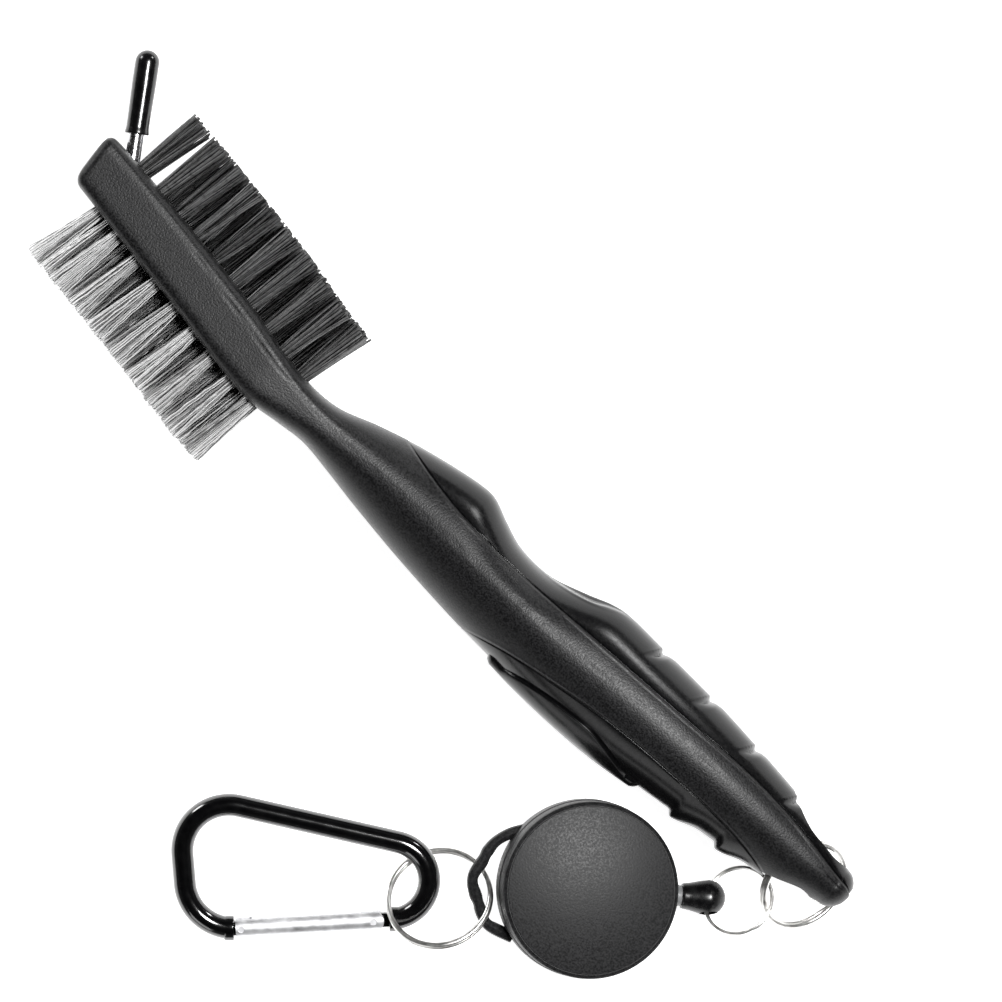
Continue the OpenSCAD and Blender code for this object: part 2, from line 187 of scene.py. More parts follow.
@functools.lru_cache(None)
def middle(x):
    """The brush's middle line, which runs straight on past the scoop."""
    reach = 0.8 * min(22.0, x, brush_len - x)
    places = [x + reach * k / 4 for k in range(-4, 5)]
    return sum(nylon_edge(p) + wire_edge(p) for p in places) / 18


def half_z(x, y):
    """Half of the brush's thickness at a place on its outline."""
    crest, n = middle(x), squareness(x)
    edge = wire_edge(x) if y > crest else nylon_edge(x)
    u = min(1.0, (y - crest) / (edge - crest))
    return thickness(x) * max(0.0, 1 - u**n) ** (1 / n)


def brush_point(x, y, z):
    """The handle's own rounding at its tail and at the end of its head, and the slant of that end."""
    if x < nose_r:
        f = math.sqrt(max(0.0, 1 - (1 - x / nose_r) ** 2))
        y, z = nose_y + (y - nose_y) * f, z * f
    reach = x - (brush_len - end_r)
    if reach > 0:
        inset = end_r * (1 - math.sqrt(max(0.0, 1 - (reach / end_r) ** 2)))
        middle = (nylon_edge(x) + wire_edge(x)) / 2
        half = (wire_edge(x) - nylon_edge(x)) / 2
        y = middle + (y - middle) * (half - inset) / half
        z *= (body_half - inset) / body_half
    x -= end_slant * y * smooth((x - 170) / 20)
    return brush_frame @ Vector((x, y, z))


# ---------------------------------------------------------------- making meshes


def skin(across, length, place, caps=True):
    """A sheet of across by length faces, rolled into a closed skin whose points place(k, i) puts down."""
    bm = bmesh.new()
    bmesh.ops.create_grid(bm, x_segments=across, y_segments=length, size=0.5)
    for v in bm.verts:
        v.co = place(round((v.co.x + 0.5) * across), round((v.co.y + 0.5) * length))
    bmesh.ops.remove_doubles(bm, verts=bm.verts, dist=1e-7)
    if caps:
        bmesh.ops.holes_fill(bm, edges=[e for e in bm.edges if e.is_boundary], sides=0)
    bmesh.ops.recalc_face_normals(bm, faces=bm.faces)
    return bm


def tube(across, length, path, radius):
    """A round skin along path(t), which gives a point, a sideways way and an upward way."""
    def place(k, i):
        t, a = i / length, 2 * math.pi * (k % across) / across
        point, side, up = path(t)
        return point + (side * math.cos(a) + up * math.sin(a)) * radius(t)

    return skin(across, length, place)


def lathe(profile, steps=72):
    """A profile of (radius, height) points turned round z."""
    bm = bmesh.new()
    verts = [bm.verts.new((r, 0, z)) for r, z in profile]
    edges = [bm.edges.new(pair) for pair in zip(verts, verts[1:])]
    bmesh.ops.spin(bm, geom=verts + edges, axis=(0, 0, 1), cent=(0, 0, 0), angle=2 * math.pi,
        steps=steps, use_merge=True)
    bmesh.ops.remove_doubles(bm, verts=bm.verts, dist=1e-5)
    bmesh.ops.recalc_face_normals(bm, faces=bm.faces)
    return bm


def soften(points, radius, steps=4):
    """The same line with its inner corners rounded."""
    line = [Vector(p) for p in points]
    out = [line[0]]
    for a, b, c in zip(line, line[1:], line[2:]):
        r = min(radius, (a - b).length * 0.45, (c - b).length * 0.45)
        p, q = b + (a - b).normalized() * r, b + (c - b).normalized() * r
        for k in range(steps + 1):
            t = k / steps
            out.append(p * (1 - t) ** 2 + b * 2 * t * (1 - t) + q * t * t)
    return out + [line[-1]]


def block(size, at, bevel=0.2, segments=2):
    """A block with rounded edges."""
    bm = bmesh.new()
    bmesh.ops.create_cube(bm, size=1)
    bmesh.ops.scale(bm, vec=size, verts=bm.verts)
    bmesh.ops.translate(bm, vec=at, verts=bm.verts)
    bmesh.ops.bevel(bm, geom=bm.edges[:], offset=bevel, offset_type="OFFSET", segments=segments,
        profile=0.5, affect="EDGES", material=-1)
    return bm


def add(bm, other, place=None):
    """Puts another shape into bm, moved by place."""
    if place is not None:
        bmesh.ops.transform(other, matrix=place, verts=other.verts)
    mesh = bpy.data.meshes.new("part")
    other.to_mesh(mesh)
    other.free()
    bm.from_mesh(mesh)
    bpy.data.meshes.remove(mesh)
    return bm


def piece(name, bm, material, body, nodes=(), place=None, crease=35):
    """A finished piece: its mesh in place and smooth but for its creases, on its body."""
    if place is not None:
        bmesh.ops.transform(bm, matrix=place, verts=bm.verts)
    mesh = bpy.data.meshes.new(name)
    bm.to_mesh(mesh)
    bm.free()
    obj = bpy.data.objects.new(name, mesh)
    bpy.context.scene.collection.objects.link(obj)
    mesh.shade_smooth()
    mesh.set_sharp_from_angle(angle=math.radians(crease))
    mesh.materials.append(material)
    if body:
        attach(obj, body)
    if nodes:
        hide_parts(*nodes)
    return obj


def cut(obj, cutter, crease=35):
    """Cuts a shape out of a piece."""
    tool = bpy.data.objects.new("cutter", bpy.data.meshes.new("cutter"))
    bpy.context.scene.collection.objects.link(tool)
    cutter.to_mesh(tool.data)
    cutter.free()
    change = obj.modifiers.new("cut", "BOOLEAN")
    change.operation, change.object, change.solver = "DIFFERENCE", tool, "EXACT"
    bpy.context.view_layer.update()
    made = bpy.data.meshes.new_from_object(obj.evaluated_get(bpy.context.evaluated_depsgraph_get()))
    obj.modifiers.remove(change)
    old, obj.data = obj.data, made
    made.name = obj.name
    bpy.data.meshes.remove(old)
    bpy.data.objects.remove(tool)
    made.set_sharp_from_angle(angle=math.radians(crease))


# ---------------------------------------------------------------- materials


def paint(code):
    """An sRGB hex colour as a linear one."""
    parts = [int(code[i : i + 2], 16) / 255 for i in (1, 3, 5)]
    return [c / 12.92 if c <= 0.04045 else ((c + 0.055) / 1.055) ** 2.4 for c in parts] + [1]


def node(tree, kind, inputs=None, **settings):
    """Adds a shader node: its settings, and its inputs as values or as another node's socket."""
    made = tree.nodes.new("ShaderNode" + kind)
    for name, value in settings.items():
        setattr(made, name, value)
    for name, value in (inputs or {}).items():
        if isinstance(value, bpy.types.NodeSocket):
            tree.links.new(value, made.inputs[name])
        else:
            made.inputs[name].default_value = value
    return made


def blank(name, **shader):
    """A material with only its shader, and its tree, shader and the object's own coordinates."""
    made = bpy.data.materials.new(name)
    made.use_nodes = True
    tree = made.node_tree
    surface = tree.nodes["Principled BSDF"]
    for key, value in shader.items():
        surface.inputs[key.replace("_", " ")].default_value = value
    return made, tree, surface, tree.nodes.new("ShaderNodeTexCoord").outputs["Object"]


def grain(size_mm):
    """A texture scale that gives spots of this size."""
    return 1 / (size_mm * MM)


def mottled(tree, surface, where, colours, size_mm, span, rough, bump_mm, detail=2.0, strength=1.0):
    """Colour, roughness and relief from one noise: colours and rough are its low and high ends."""
    noise = node(tree, "TexNoise", {"Vector": where, "Scale": grain(size_mm), "Detail": detail})
    ramp = node(tree, "ValToRGB", {"Fac": noise.outputs["Fac"]})
    for stop, at, colour in zip(ramp.color_ramp.elements, span, colours):
        stop.position, stop.color = at, paint(colour)
    spread = node(tree, "MapRange", {"Value": noise.outputs["Fac"], "From Min": span[0],
        "From Max": span[1], "To Min": rough[0], "To Max": rough[1]})
    relief = node(tree, "Bump", {"Height": noise.outputs["Fac"], "Distance": bump_mm * MM,
        "Strength": strength})
    tree.links.new(ramp.outputs["Color"], surface.inputs["Base Color"])
    tree.links.new(spread.outputs["Result"], surface.inputs["Roughness"])
    tree.links.new(relief.outputs["Normal"], surface.inputs["Normal"])
    return noise, ramp, relief


def shade_strands(tree, surface, reach_mm, span, shades):
    """Gives each strand its own tone at random, and paints shade on the strands deep in the tufts, where less
    light reaches them.
    """
    own = tree.nodes.new("ShaderNodeNewGeometry").outputs["Random Per Island"]
    shade = node(tree, "MapRange", {"Value": own, "From Max": 0.7, "To Min": shades[0], "To Max": shades[1]})
    # painted shade: ambient occlusion darkens the strands deep in the tufts, where the rows above shut out
    # the light
    painted_shade = node(tree, "AmbientOcclusion", {"Distance": reach_mm * MM}, samples=8)
    painted_shade_level = node(tree, "MapRange", {"Value": painted_shade.outputs["AO"], "From Min": span[0], "From Max": span[1]})
    both = node(tree, "Math", {0: painted_shade_level.outputs["Result"], 1: shade.outputs["Result"]}, operation="MULTIPLY")
    colour = surface.inputs["Base Color"].links[0].from_socket
    seen = node(tree, "VectorMath", {0: colour, 3: both.outputs["Value"]}, operation="SCALE")
    tree.links.new(seen.outputs["Vector"], surface.inputs["Base Color"])


def moulded_polypropylene():
    # Black polypropylene from a spark-eroded mould: a fine even grain that breaks up the highlight.
    made, tree, surface, where = blank("moulded_polypropylene", IOR=1.49, Specular_IOR_Level=0.3)
    mottled(tree, surface, where, ("#0a0a0b", "#222223"), 0.32, (0.35, 0.65), (0.34, 0.46), 0.05, 1.0, 0.8)
    return made


def grip_rubber():
    # Thermoplastic rubber over the handle: darker and smoother than the hard plastic, and a little greasy.
    made, tree, surface, where = blank("grip_rubber", IOR=1.5, Specular_IOR_Level=0.25)
    mottled(tree, surface, where, ("#060607", "#0d0d0e"), 0.6, (0.3, 0.7), (0.18, 0.26), 0.004, 3.0, 0.5)
    return made


def bristle_nylon():
    # Black nylon bristle, drawn and cut. It is dark grey here as a painted highlight, for the light that each
    # strand catches.
    made, tree, surface, where = blank("bristle_nylon", IOR=1.53)
    mottled(tree, surface, where, ("#5c5c5c", "#747474"), 0.8, (0.3, 0.7), (0.26, 0.4), 0.006, 1.0, 0.4)
    shade_strands(tree, surface, 14.0, (0.26, 0.46), (0.1, 0.66))
    return made


def crimped_wire():
    # Crimped steel wire, as a mostly white and diffuse surface with little metal in it: the white is a
    # painted reflection of the light that bright steel gives back.
    made, tree, surface, where = blank("crimped_wire", Metallic=0.1)
    mottled(tree, surface, where, ("#f4f4f4", "#ffffff"), 0.5, (0.35, 0.6), (0.3, 0.45), 0.004, 2.0, 0.5)
    shade_strands(tree, surface, 14.0, (0.18, 0.3), (0.1, 1.0))
    return made


def staple_brass():
    # Brass staple strip: yellow, with the dull bloom of bare brass.
    made, tree, surface, where = blank("staple_brass", Metallic=1.0)
    mottled(tree, surface, where, ("#9a7a38", "#c9a95c"), 0.8, (0.35, 0.65), (0.3, 0.45), 0.004)
    return made


def spike_steel():
    # Ground steel rod, with a fine mottle.
    made, tree, surface, where = blank("spike_steel", Metallic=1.0)
    mottled(tree, surface, where, ("#9c9c9e", "#cfcfd1"), 0.25, (0.35, 0.65), (0.16, 0.3), 0.004)
    return made


def cap_vinyl():
    # Dip-moulded vinyl: thick, soft and glossy, with slow waves in its surface.
    made, tree, surface, where = blank("cap_vinyl", IOR=1.52, Coat_Weight=0.3, Coat_Roughness=0.08)
    mottled(tree, surface, where, ("#060607", "#0d0d0e"), 2.0, (0.3, 0.7), (0.16, 0.24), 0.05, 2.0, 0.5)
    return made


def plated_nickel():
    # Nickel-plated spring wire: bright, with a satin finish.
    made, tree, surface, where = blank("plated_nickel", Metallic=1.0)
    mottled(tree, surface, where, ("#e2e1de", "#f8f7f4"), 1.2, (0.3, 0.7), (0.28, 0.4), 0.001)
    return made


def textured_abs():
    # Black ABS from an etched mould: coarse matt grain, as on key reels.
    made, tree, surface, where = blank("textured_abs", IOR=1.52, Specular_IOR_Level=0.22)
    mottled(tree, surface, where, ("#101011", "#2a2a2b"), 0.36, (0.35, 0.65), (0.36, 0.5), 0.035, 2.0, 0.7)
    return made


def bush_abs():
    # Grey ABS, moulded smooth.
    made, tree, surface, where = blank("bush_abs", IOR=1.52)
    mottled(tree, surface, where, ("#7c7d7e", "#8d8e8f"), 0.5, (0.3, 0.7), (0.35, 0.45), 0.01)
    return made


def spool_acetal():
    # Natural acetal: waxy white.
    made, tree, surface, where = blank("spool_acetal", IOR=1.48)
    mottled(tree, surface, where, ("#d0d0ca", "#e2e2dc"), 1.5, (0.3, 0.7), (0.32, 0.42), 0.01)
    return made


def spring_steel():
    # Blue-grey rolled spring strip.
    made, tree, surface, where = blank("spring_steel", Metallic=1.0)
    mottled(tree, surface, where, ("#6e7076", "#9da0a6"), 0.4, (0.35, 0.65), (0.22, 0.36), 0.004)
    return made


def braided_cord():
    # Braided nylon cord: crossing strands 0.3 mm wide, slightly fuzzy.
    made, tree, surface, where = blank("braided_cord", IOR=1.53, Sheen_Weight=0.3)
    _, _, relief = mottled(tree, surface, where, ("#101011", "#222224"), 0.3, (0.35, 0.65), (0.55, 0.7), 0.04)
    strands = node(tree, "TexWave", {"Vector": where, "Scale": grain(0.9), "Distortion": 1.5},
        bands_direction="DIAGONAL")
    weave = node(tree, "Bump", {"Height": strands.outputs["Fac"], "Distance": 0.08 * MM,
        "Normal": relief.outputs["Normal"]})
    tree.links.new(weave.outputs["Normal"], surface.inputs["Normal"])
    return made


def bell_rubber():
    # Glossy moulded rubber of the cord end, with a faint cloudy bloom.
    made, tree, surface, where = blank("bell_rubber", IOR=1.52)
    mottled(tree, surface, where, ("#0b0b0c", "#161617"), 1.2, (0.35, 0.7), (0.22, 0.34), 0.03, 3.0, 0.5)
    return made


def black_anodised():
    # Black anodised aluminium, tumbled bright before dyeing: a deep black with hard highlights.
    made, tree, surface, where = blank("black_anodised", IOR=1.6, Coat_Weight=0.8, Coat_Roughness=0.12)
    mottled(tree, surface, where, ("#060607", "#0c0c0d"), 1.5, (0.3, 0.7), (0.1, 0.15), 0.002, 3.0, 0.5)
    return made


def bare_aluminium():
    # Turned aluminium, clear anodised: bright, with a satin finish.
    made, tree, surface, where = blank("bare_aluminium", Metallic=1.0)
    mottled(tree, surface, where, ("#e2e2e4", "#fafafc"), 1.4, (0.3, 0.7), (0.42, 0.58), 0.004)
    return made


black_pp = moulded_polypropylene()
rubber = grip_rubber()
nickel = plated_nickel()
reel_plastic = textured_abs()
anodised = black_anodised()
brass = staple_brass()
spring_strip = spring_steel()
aluminium = bare_aluminium()

# Parts that are shown as they are, or are hidden inside, and what they are made of.
carried = {
    "nylon_anchors": brass, "wire_anchors": brass, "cord_crimp": brass, "spike": spike_steel(),
    "reel_spool": spool_acetal(), "reel_spring": spring_strip, "reel_axle": spike_steel(),
    "gate_spring": spring_strip, "gate_plunger": spring_strip, "hinge_rivet": aluminium,
    "catch_pin": aluminium, "carabiner_gate": aluminium,
}
for name, material in carried.items():
    mesh = frame["nodes"][name].data
    mesh.materials.clear()
    mesh.materials.append(material)


# ---------------------------------------------------------------- the handle

half_ring = 40
seam_width = 0.28
seam_depth = 0.24
bead_rise = 0.09
parting_width = 0.16
parting_depth = 0.12
rib_at = [18.5, 30.5, 42.5, 54.5]
rib_depth = 0.95
rib_reach = 3.4
palm_rib_at = [23.3, 33.2]
thumb_end = 115
palm_ends = (13.5, 84)
scoop_ends = (63.5, 86)
pad_ends = (41.3, 77)
pad_proud = 0.95


def even(a, b, j, n):
    """Steps from a to b that are close together at both ends."""
    return a + (b - a) * (1 - math.cos(math.pi * j / n)) / 2


def stations(start, end, step, fine=(), reach=2.4, fine_step=0.3):
    """Places along the brush, closer together about the fine ones and at the tail."""
    found = [start]
    while found[-1] < end - 1e-6:
        x = found[-1]
        near = any(-reach <= x - f <= reach + 1 for f in fine)
        round_end = x < nose_r or x > brush_len - end_r - 0.3
        found.append(min(end, x + (0.22 if round_end else fine_step if near else step)))
    return found


def slab(places, low, high, shape):
    """A closed skin between two lines across the brush; shape gives the points of its upper half."""
    rows = []
    for x in places:
        at = max(x, nose_r)
        a, b = low(at), high(at)
        ys = [even(a, b, j, half_ring) for j in range(half_ring + 1)]
        rows.append([shape(x, at, y, half_z(at, y)) for y in ys])
    across = 2 * half_ring + 2

    def place(k, i):
        k %= across
        top = k <= half_ring
        x, y, z = rows[i][k if top else across - 1 - k]
        return brush_point(x, y, z if top else -z)

    return skin(across, len(places) - 1, place)


def nylon_seam(x):
    """Where the hard handle meets the thumb side's rubber."""
    return max(along(nylon_seam_points, x), nylon_edge(x)) if x < thumb_end else nylon_edge(x)


def wire_seam(x):
    """Where the hard handle meets the palm side's rubber."""
    return min(along(wire_seam_points, x), wire_edge(x)) if palm_ends[0] < x < palm_ends[1] else wire_edge(x)


def groove(distance, width, depth):
    return depth * hump(distance / width)


def seam_step(distance):
    """The handle's edge at a seam: a fine rounded bead that falls away into the gap."""
    return groove(distance, seam_width, seam_depth) - groove(distance - 0.42, 0.22, bead_rise)


def core_shape(x, at, y, z):
    """The hard handle: its edges drop into the seams, and the parting line is a hairline."""
    drop = groove(y - along(parting_points, at), parting_width, parting_depth)
    if at < thumb_end:
        drop += seam_step(y - nylon_seam(at))
    if palm_ends[0] < at < palm_ends[1]:
        drop += seam_step(wire_seam(at) - y)
    return x, y, max(0.0, z - drop)


def thumb_shape(x, at, y, z):
    """The rubber on the bristle side: four finger notches and the thumb scoop."""
    z = max(0.0, z - groove(y - nylon_seam(at), seam_width, seam_depth))
    inward = y - nylon_edge(at)
    for f in rib_at:
        # a notch runs in from the edge, towards the head, with its steep side facing the tail
        s = x - f - 0.66 * inward
        fade = 1 - smooth(inward / rib_reach)
        depth = rib_depth * (hump(s / 0.7) if s > 0 else hump(s / 2.2) * 0.75 + 0.25 * hump(s / 0.7)) * fade
        y += depth * 0.8
        lip = 0.5 * hump((s - 0.8) / 0.45) * fade
        z = max(0.0, z - depth * 0.6) + lip * min(1.0, z)
    if scoop_ends[0] < at < scoop_ends[1]:
        rim = along(scoop_rim_points, at)
        fade = smooth((scoop_ends[1] - at) / 4)
        if y < rim:
            t = (rim - y) / max(0.05, rim - nylon_edge(at))
            z *= 1 - 0.6 * smooth(t * 2.2) * smooth((at - scoop_ends[0]) / 3) * fade
        z += 0.3 * hump((y - rim) / 0.45) * smooth((at - scoop_ends[0] - 0.5) / 4) * fade
    return x, y, z


def palm_shape(x, at, y, z):
    """The rubber on the palm side, with two low ribs near the tail."""
    z = max(0.0, z - groove(y - wire_seam(at), seam_width, seam_depth))
    share = (y - wire_seam(at)) / max(0.2, wire_edge(at) - wire_seam(at))
    for f in palm_rib_at:
        s = x - f
        y += 1.1 * (hump(s / 1.4) if s > 0 else hump(s / 5.5)) * max(0.0, share) ** 2
    return x, y, z


def pad_edge(x):
    """The pad's inner edge; at its tips it runs out to the silhouette."""
    return min(along(pad_edge_points, x), wire_edge(x) - 0.5)


def pad_shape(x, at, y, z):
    """The raised pad: proud of the grip by pad_proud, with its edge rounded over."""
    share = (y - pad_edge(at)) / (wire_edge(at) - pad_edge(at))
    ends = min(1.0, (x - pad_ends[0]) / 1.2, (pad_ends[1] - x) / 1.2)
    rise = pad_proud * math.sqrt(max(0.0, ends))
    edge = (y - pad_edge(at)) / 0.5
    return x, y + rise * share, z + rise * (0.9 * math.sqrt(smooth(edge)) if edge < 1 else 0.9) - 0.1


eye_x = (8.4, 12.2)
eye_r = 3.3
eye_reach = 22
flare_span = (-1, -6.5)
flare_r = 5.5


def eye_slot(near, far, near_r, far_r):
    """A round-ended slot across the tail, from one depth and radius to another."""
    middle, half = sum(eye_x) / 2, (eye_x[1] - eye_x[0]) / 2
    slot = bmesh.new()
    bmesh.ops.create_cone(slot, cap_ends=True, segments=48, radius1=near_r, radius2=far_r,
        depth=abs(far - near))
    for v in slot.verts:
        v.co.x += math.copysign(half, v.co.x)
    way = Matrix.Rotation(math.radians(-90 if far > near else 90), 4, "X")
    place = brush_frame @ Matrix.Translation((middle, (near + far) / 2, 0)) @ way
    bmesh.ops.transform(slot, matrix=place, verts=slot.verts)
    return slot


def make_handle():
    core = slab(stations(0, brush_len, 1.2, [3, 187]), nylon_seam, wire_seam, core_shape)
    thumb = slab(stations(0.6, thumb_end, 1.2, rib_at), nylon_edge, nylon_seam, thumb_shape)
    palm = slab(stations(14, palm_ends[1], 1.0, palm_rib_at), wire_seam, wire_edge, palm_shape)
    pad = slab(stations(*pad_ends, 0.6, pad_ends), pad_edge, wire_edge, pad_shape)
    add(palm, pad)
    made = [
        piece("handle_shell", core, black_pp, "brush", ["handle_core"]),
        piece("thumb_side_rubber", thumb, rubber, "brush", ["thumb_grip"]),
        piece("palm_side_rubber", palm, rubber, "brush", ["palm_grip"]),
    ]
    for obj in made[:2]:
        # the eye goes right through, and flares out on the bristle side
        cut(obj, eye_slot(-eye_reach, eye_reach, eye_r, eye_r))
        cut(obj, eye_slot(*flare_span, eye_r, eye_r + flare_r))


# ---------------------------------------------------------------- the bristles

row_gap = 5.4
tuft_len = 14.0
tuft_root_r = 1.15
# First tuft, pitch, tufts in a full row, how many fewer in the middle one, and lean in degrees.
nylon_rows = (135.9, 5.13, 10, 2, -8.4)
wire_rows = (139.2, 5.4, 9, 1, -7.4)


def bundle(seed, reach, strands, strand_r, spread, sides, steps, cut_mm, crimp):
    """One tuft standing along z: strands packed round its foot that fan out to its cut tips."""
    rng = random.Random(seed)
    bm = bmesh.new()
    for i in range(strands):
        turn = i * math.pi * (3 - math.sqrt(5)) + rng.uniform(-0.2, 0.2)
        out = tuft_root_r * math.sqrt((i + 0.5) / strands)
        root = Vector((math.cos(turn) * out, math.sin(turn) * out, -0.6))
        tip = Vector((root.x * spread + rng.uniform(-0.22, 0.22), root.y * spread + rng.uniform(-0.22, 0.22),
            reach + rng.uniform(-cut_mm, cut_mm)))
        bow = Vector((rng.uniform(-0.2, 0.2), rng.uniform(-0.2, 0.2), 0))
        phase, wave, lie = rng.uniform(0, 6.3), rng.uniform(3.4, 4.6), rng.uniform(0, 6.3)

        def path(t, root=root, tip=tip, bow=bow, phase=phase, wave=wave, lie=lie):
            swing = crimp * math.sin(phase + wave * 2 * math.pi * t) * smooth(t * 4)
            point = root.lerp(tip, t) + bow * math.sin(math.pi * t)
            sway = Vector((math.cos(lie), math.sin(lie), 0)) * swing
            return point + sway, Vector((1, 0, 0)), Vector((0, 1, 0))

        add(bm, tube(sides, steps, path, lambda t: strand_r))
    return bm


def tuft_field(rows, edge, sign, last_lean, **strand):
    """All tufts of one side, in three rows: the middle one is shorter and half a pitch along.

    The last tuft of a full row leans last_lean degrees more than the others.
    """
    first, pitch, count, fewer, lean = rows
    bm = bmesh.new()
    for row in (-1, 0, 1):
        for i in range(count - (fewer if row == 0 else 0)):
            x = first + (i + (0.5 if row == 0 else 0)) * pitch
            turn = lean + (last_lean if i == count - 1 else 0)
            way = Matrix.Rotation(math.radians(turn), 4, "Z") @ Vector((0, sign, 0))
            place = stand(brush_frame @ Vector((x, edge(x), row * row_gap)), (1, 0, 0), way)
            add(bm, bundle(100 * (row + 2) + i + (7 if sign > 0 else 0), **strand), place)
    return bm


def make_bristles():
    nylon = tuft_field(nylon_rows, nylon_edge, -1, 0.0, reach=tuft_len - 0.7, strands=26,
        strand_r=0.22, spread=1.8, sides=6, steps=4, cut_mm=0.45, crimp=0.0)
    piece("nylon_bristles", nylon, bristle_nylon(), "brush", ["nylon_tufts"], crease=60)
    wire = tuft_field(wire_rows, wire_edge, 1, -3.0, reach=tuft_len, strands=40,
        strand_r=0.13, spread=1.9, sides=4, steps=14, cut_mm=0.3, crimp=0.07)
    piece("wire_bristles", wire, crimped_wire(), "brush", ["wire_tufts"], crease=80)


# ---------------------------------------------------------------- the spike's cap

cap_len = 15.3
cap_r = 2.2
cap_bore_r = 1.45
cap_bore_len = 12.4
dome_at = 13.1


def make_cap():
    low = Vector(joints["cap_pull"]["axis"])
    middle = centre_of("spike_cap")
    place = stand(middle - low * (cap_len / 2 * MM), (0, 0, 1), low)
    outer = [(cap_bore_r, cap_bore_len), (cap_bore_r, 0), (cap_r + 0.05, 0), (cap_r - 0.12, 1.2),
        (cap_r - 0.1, 4), (cap_r, 9), (cap_r, dome_at)]
    dome = [(cap_r * math.cos(a), dome_at + cap_r * math.sin(a))
        for a in [math.pi / 2 * k / 8 for k in range(1, 9)]]
    profile = [(0, cap_bore_len)] + soften(outer, 0.3) + dome
    profile[-1] = (0, cap_len)
    piece("spike_cap_vinyl", lathe(profile, 48), cap_vinyl(), "cap", ["spike_cap"], place=place)


# ---------------------------------------------------------------- rings


def coiled_ring(ring_r, wire, seed_turn):
    """A split ring: two turns of flat-sided wire side by side, that cross over in one short jog."""
    turns, gap, jog = 2.0, math.radians(7), math.radians(34)
    total = turns * 2 * math.pi - gap
    strand = wire / 2
    sides, steps = 12, 190

    def place(k, i):
        a = total * i / steps
        t = 2 * math.pi * (k % sides) / sides
        side = smooth((a - (2 * math.pi - gap / 2 - jog)) / jog) - 0.5
        taper = min(1.0, 0.35 + i / 3, 0.35 + (steps - i) / 3)
        z = side * strand * 1.04 + strand / 2 * 0.96 * taper * math.sin(t)
        r = ring_r + strand * 0.62 * taper * math.cos(t)
        return Vector((r * math.cos(a + seed_turn), r * math.sin(a + seed_turn), z))

    return skin(sides, steps, place)


def make_rings():
    for name, node_name, ring_r, wire, turn in (
            ("tail_split_ring", "tail_ring", 8.45, 1.6, 0.4), ("cord_split_ring", "cord_ring", 6.3, 1.0, 2.2),
            ("key_split_ring", "split_ring", 9.35, 1.6, 4.0)):
        piece(name, coiled_ring(ring_r, wire, turn), nickel, node_name, [node_name],
            place=ring_stand(node_name))


# ---------------------------------------------------------------- the reel

reel_r = 16.0
reel_half = 5.5
housing_seam = 2.5
spool_axis = Vector(joints["spool_turn"]["axis"])
reel_middle = Vector(joints["spool_turn"]["pos_m"])
reel_frame = stand(reel_middle, centre_of("cord_end") - reel_middle, spool_axis)
bell_from = 17.25
bell_to = 25.3
bell_small_r = 2.35
bell_big_r = 3.35
ring_hole_at = 22.3
ring_hole_r = 1.65
ring_hole_turn = 75
bush_r = 1.9
# The lug's middle line, seen on the reel's face.
lug_points = [(-11.6, 9.6), (-14.4, 8.7), (-16.7, 7.2), (-18.1, 5.3), (-19, 3.3), (-20.3, 1),
    (-20.4, -0.7), (-19.7, -2.7), (-18.9, -4.5), (-18.2, -6.4), (-16.6, -8.2), (-12.4, -9.8)]
lug_z = -4.2
lug_wide = 2.1
lug_thick = 2.2
wound_turns = 8
wound_in_r = 9.6
wound_out_r = 11.8
wound_low = -3.05
wound_tall = 3.55
cord_r = 0.4
cord_from = 13.4
cord_to = 20.3


def face_profile():
    """The front shell: a gently crowned face, a fine line near its rim, and a rounded edge."""
    crown = [(r, reel_half - 1.5 * (r / reel_r) ** 2) for r in (0, 2, 4, 6, 8, 10, 12, 13.6, 14.6, 15.1)]
    rim = [(15.18, 4.0), (15.3, 4.0), (15.38, 4.1), (15.6, 4.02), (15.88, 3.8), (reel_r, 3.5),
        (reel_r, housing_seam + 0.12), (reel_r - 0.14, housing_seam), (reel_r - 1.4, housing_seam),
        (reel_r - 1.4, reel_half - 1.7), (0, reel_half - 1.4)]
    return crown + rim


def back_profile():
    """The back shell: a deeper cup with a step under the seam."""
    cup = [(0, -reel_half + 1.4), (reel_r - 1.4, -reel_half + 1.4), (reel_r - 1.4, housing_seam),
        (reel_r - 0.14, housing_seam), (reel_r, housing_seam - 0.12), (reel_r, -0.4), (reel_r + 0.16, -0.6),
        (reel_r + 0.16, -4.2), (15.4, -reel_half), (0, -reel_half)]
    return [cup[0]] + soften(cup[1:-1], 0.35, 3) + [cup[-1]]


def swept_line(points, t):
    """A point and its heading on a smooth line through points, by share of their count."""
    n = len(points) - 1
    xs = [(i, p[0]) for i, p in enumerate(points)]
    ys = [(i, p[1]) for i, p in enumerate(points)]
    u = t * n
    here = Vector((along(xs, u), along(ys, u), 0))
    ahead = Vector((along(xs, min(n, u + 0.02)), along(ys, min(n, u + 0.02)), 0))
    behind = Vector((along(xs, max(0, u - 0.02)), along(ys, max(0, u - 0.02)), 0))
    return here, (ahead - behind).normalized()


def lug():
    """The strap on the back shell that the split ring runs through, swollen into soft lobes."""
    sides, steps = 16, 90

    def place(k, i):
        t, a = i / steps, 2 * math.pi * (k % sides) / sides
        here, way = swept_line(lug_points, t)
        side = Vector((-way.y, way.x, 0))
        waists = hump((t - 0.32) / 0.06) + hump((t - 0.7) / 0.06)
        swell = 1 + 0.1 * math.cos(6 * math.pi * t) - 0.16 * waists
        c, s = math.cos(a), math.sin(a)
        c, s = math.copysign(abs(c) ** 0.6, c), math.copysign(abs(s) ** 0.6, s)
        rib = 0.14 * hump(c / 0.35)
        return here + side * (c * lug_wide / 2 * swell) + Vector((0, 0, lug_z + s * (lug_thick / 2 + rib)))

    return skin(sides, steps, place)


